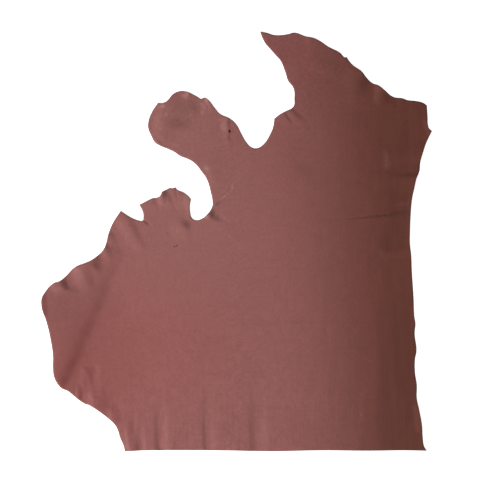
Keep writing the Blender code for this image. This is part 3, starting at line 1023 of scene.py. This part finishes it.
@dataclass
class Hide:
    """The whole skin as one closed sheet: grain side, flesh side and a rounded raw edge between them."""

    outline: Outline = Outline()
    lie: Lie = Lie()
    thickness: float = 1.8
    grain_cell: float = 5.6
    flesh_cell: float = 9.0
    rim_clearance: float = 0.6
    join_within: float = 1e-5
    flat_size: tuple[float, float] = (1.09, 1.17)
    area: float = 0.87
    # Rows of the rounded edge from the grain to the flesh side: inset and share of the thickness
    edge_rows: tuple[tuple[float, float], ...] = (
        (0.6, 1.0), (0.15, 0.8), (0.0, 0.5), (0.15, 0.2), (0.5, 0.0),
    )
    # Places of the two sides on the bake map, as corner u, corner v and scale, and the rows of the edge
    grain_uv: tuple[float, float, float] = (0.0, 0.205, 0.676)
    flesh_uv: tuple[float, float, float] = (0.745, 0.205, 0.228)
    edge_uv: tuple[float, float] = (0.01, 0.19)

    def cells(self, loop: np.ndarray, cell: float, refine: bool) -> tuple[np.ndarray, list[list[int]]]:
        """Fills a loop with triangles.

        Args:
            loop: Points around it in mm, which come first in the result, in order.
            cell: Spacing of the points inside, in mm.
            refine: Whether narrow folds get points of half that spacing.

        Returns:
            All points in mm, and the corners of each triangle, facing up.
        """
        step = cell / 2 if refine else cell
        low = loop.min(axis=0)
        counts = ((loop.max(axis=0) - low) / step).astype(int) + 1
        column, row = (grid.ravel() for grid in np.meshgrid(np.arange(counts[0]), np.arange(counts[1])))
        inner = low + np.column_stack((column, row)) * step
        if refine:
            coarse = (column % 2 == 0) & (row % 2 == 0)
            inner = inner[coarse | self.lie.busy(inner)]
        near = KDTree(len(loop))
        for number, point in enumerate(loop):
            near.insert((point[0], point[1], 0.0), number)
        near.balance()
        gap = self.rim_clearance * step
        inner = [point for point in inner if near.find((point[0], point[1], 0.0))[2] > gap]
        places = [Vector(point) for point in loop] + [Vector(point) for point in inner]
        rim = [list(range(len(loop)))]
        places, _, faces, _, _, _ = delaunay_2d_cdt(places, [], rim, 1, self.join_within)
        return np.array([place[:] for place in places]), faces

    def add_points(self, built: bmesh.types.BMesh, places: np.ndarray,
                   share: float) -> list[bmesh.types.BMVert]:
        """Adds points at a share of the thickness above the flesh side.

        Args:
            built: Mesh in the making.
            places: Places in mm.
            share: Share of the thickness, 1 on the grain side.

        Returns:
            The new points.
        """
        heights = self.lie.flesh_height(places) + (self.thickness + self.lie.grain_relief(places)) * share
        return [built.verts.new((x * MM, y * MM, z * MM)) for (x, y), z in zip(places, heights)]

    def add_side(self, built: bmesh.types.BMesh, loop: np.ndarray,
                 side: Side) -> list[bmesh.types.BMVert]:
        """Adds the grain or the flesh side, with its places on the bake map.

        Args:
            built: Mesh in the making.
            loop: Points around the side in mm.
            side: Which side it is.

        Returns:
            The points around it.
        """
        grain = side is Side.GRAIN
        places, faces = self.cells(loop, self.grain_cell if grain else self.flesh_cell, grain)
        points = self.add_points(built, places, 1.0 if grain else 0.0)
        left, bottom, scale = self.grain_uv if grain else self.flesh_uv
        spots = (places - places.min(axis=0)) * MM * scale + (left, bottom)
        uv_layer = built.loops.layers.uv.active
        for corners in faces:
            corners = corners if grain else corners[::-1]
            face = built.faces.new([points[number] for number in corners])
            face.material_index = side.value
            face.smooth = True
            for corner, number in zip(face.loops, corners):
                corner[uv_layer].uv = spots[number]
        return points[:len(loop)]

    def add_edge(self, built: bmesh.types.BMesh, loops: list[list[bmesh.types.BMVert]]) -> None:
        """Adds the rounded edge as bands between loops of points.

        Args:
            built: Mesh in the making.
            loops: Loops from the grain side down to the flesh side.
        """
        uv_layer = built.loops.layers.uv.active
        rows = np.linspace(self.edge_uv[1], self.edge_uv[0], len(loops))
        columns = np.linspace(0.0, 1.0, len(loops[0]) + 1)
        for level, (upper, lower) in enumerate(zip(loops, loops[1:])):
            for number in range(len(upper)):
                after = (number + 1) % len(upper)
                face = built.faces.new((upper[number], upper[after], lower[after], lower[number]))
                face.material_index = Side.CUT_EDGE.value
                face.smooth = True
                for corner, (column, row) in zip(face.loops, ((0, 0), (1, 0), (1, 1), (0, 1))):
                    corner[uv_layer].uv = (columns[number + column], rows[level + row])

    def build_mesh(self, rim: np.ndarray, origin: Vector) -> bpy.types.Mesh:
        """Joins the two sides and the rounded edge to one closed mesh.

        Args:
            rim: Points around the skin in mm.
            origin: Place in the frame of the left end of the knife cut.

        Returns:
            Mesh in metres, with its material slots and its bake map.
        """
        built = bmesh.new()
        built.loops.layers.uv.new("OFBake")
        rows = [(self.outline.inset(rim, inset), share) for inset, share in self.edge_rows]
        loops = [self.add_side(built, rows[0][0], Side.GRAIN)]
        loops += [self.add_points(built, places, share) for places, share in rows[1:-1]]
        loops.append(self.add_side(built, rows[-1][0], Side.FLESH))
        self.add_edge(built, loops)
        bmesh.ops.translate(built, verts=built.verts, vec=origin)
        mesh = bpy.data.meshes.new("hide_leather")
        built.to_mesh(mesh)
        built.free()
        return mesh

    def build(self, floor: bpy.types.Object) -> bpy.types.Object:
        """Makes the piece, dresses it and sets it in the place of its solid.

        Args:
            floor: What it lies on; not used.

        Returns:
            The finished piece.
        """
        rim = self.outline.loop()
        origin = self.outline.origin(rim)
        piece = bpy.data.objects.new("hide_leather", self.build_mesh(rim, origin))
        bpy.context.scene.collection.objects.link(piece)
        piece.data.materials.append(GrainFinish().build(origin))
        piece.data.materials.append(FleshFinish().build())
        piece.data.materials.append(CutEdgeFinish().build())
        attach(piece, "root")
        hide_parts("hide")
        return piece


@dataclass
class Studio:
    """Plain white floor, one soft panel low on the belly side, even fill and a camera straight above."""

    floor_size: float = 14.0
    floor_drop: float = 0.2 * MM
    floor_colour: str = "#f4f3f1"
    floor_roughness: float = 0.9
    floor_specular: float = 0.1
    floor_glow: float = 0.8
    camera_middle: tuple[float, float] = (0.0376, -0.0243)
    view_width: float = 1.40
    focal_length: float = 85.0
    sensor_width: float = 36.0
    key_place: tuple[float, float, float] = (-5.08, -3.3, 3.5)
    key_power: float = 630.0
    key_size: float = 1.2
    sky_colour: str = "#ffffff"
    sky_strength: float = 0.27

    def build_floor(self) -> bpy.types.Object:
        """Makes the floor, bright enough to stay white and still take a soft shadow.

        Returns:
            The floor.
        """
        bpy.ops.mesh.primitive_plane_add(size=self.floor_size, location=(0.0, 0.0, -self.floor_drop))
        floor = bpy.context.object
        floor.name = "floor"
        material, _, shader = new_material("white_paper")
        shader.inputs["Base Color"].default_value = linear(self.floor_colour)
        shader.inputs["Roughness"].default_value = self.floor_roughness
        shader.inputs["Specular IOR Level"].default_value = self.floor_specular
        shader.inputs["Emission Color"].default_value = linear(self.sky_colour)
        shader.inputs["Emission Strength"].default_value = self.floor_glow
        floor.data.materials.append(material)
        return floor

    def build_lights(self) -> None:
        """Makes the key panel and the even light of the room."""
        panel = bpy.data.lights.new("key", "AREA")
        panel.shape = "DISK"
        panel.size = self.key_size
        panel.energy = self.key_power
        key = bpy.data.objects.new("key", panel)
        key.location = self.key_place
        key.rotation_euler = (-key.location).to_track_quat("-Z", "Y").to_euler()
        bpy.context.scene.collection.objects.link(key)
        room = bpy.data.worlds.new("room")
        room.use_nodes = True
        sky = room.node_tree.nodes["Background"]
        sky.inputs["Color"].default_value = linear(self.sky_colour)
        sky.inputs["Strength"].default_value = self.sky_strength
        bpy.context.scene.world = room

    def build_camera(self) -> None:
        """Makes the camera, which looks straight down with the neck at the top."""
        lens = bpy.data.cameras.new("camera")
        lens.lens = self.focal_length
        lens.sensor_width = self.sensor_width
        camera = bpy.data.objects.new("camera", lens)
        height = self.view_width * self.focal_length / self.sensor_width
        camera.location = (self.camera_middle[0], self.camera_middle[1], height)
        bpy.context.scene.collection.objects.link(camera)
        bpy.context.scene.camera = camera
        bpy.context.scene.view_settings.view_transform = "Standard"


def main() -> None:
    """Builds the studio and the hide."""
    logging.basicConfig(level=logging.INFO, format="%(message)s")
    studio = Studio()
    floor = studio.build_floor()
    studio.build_lights()
    studio.build_camera()
    piece = Hide().build(floor)
    piece.data.calc_loop_triangles()
    LOG.info("%s: %d triangles", piece.name, len(piece.data.loop_triangles))


if __name__ == "__main__":
    main()
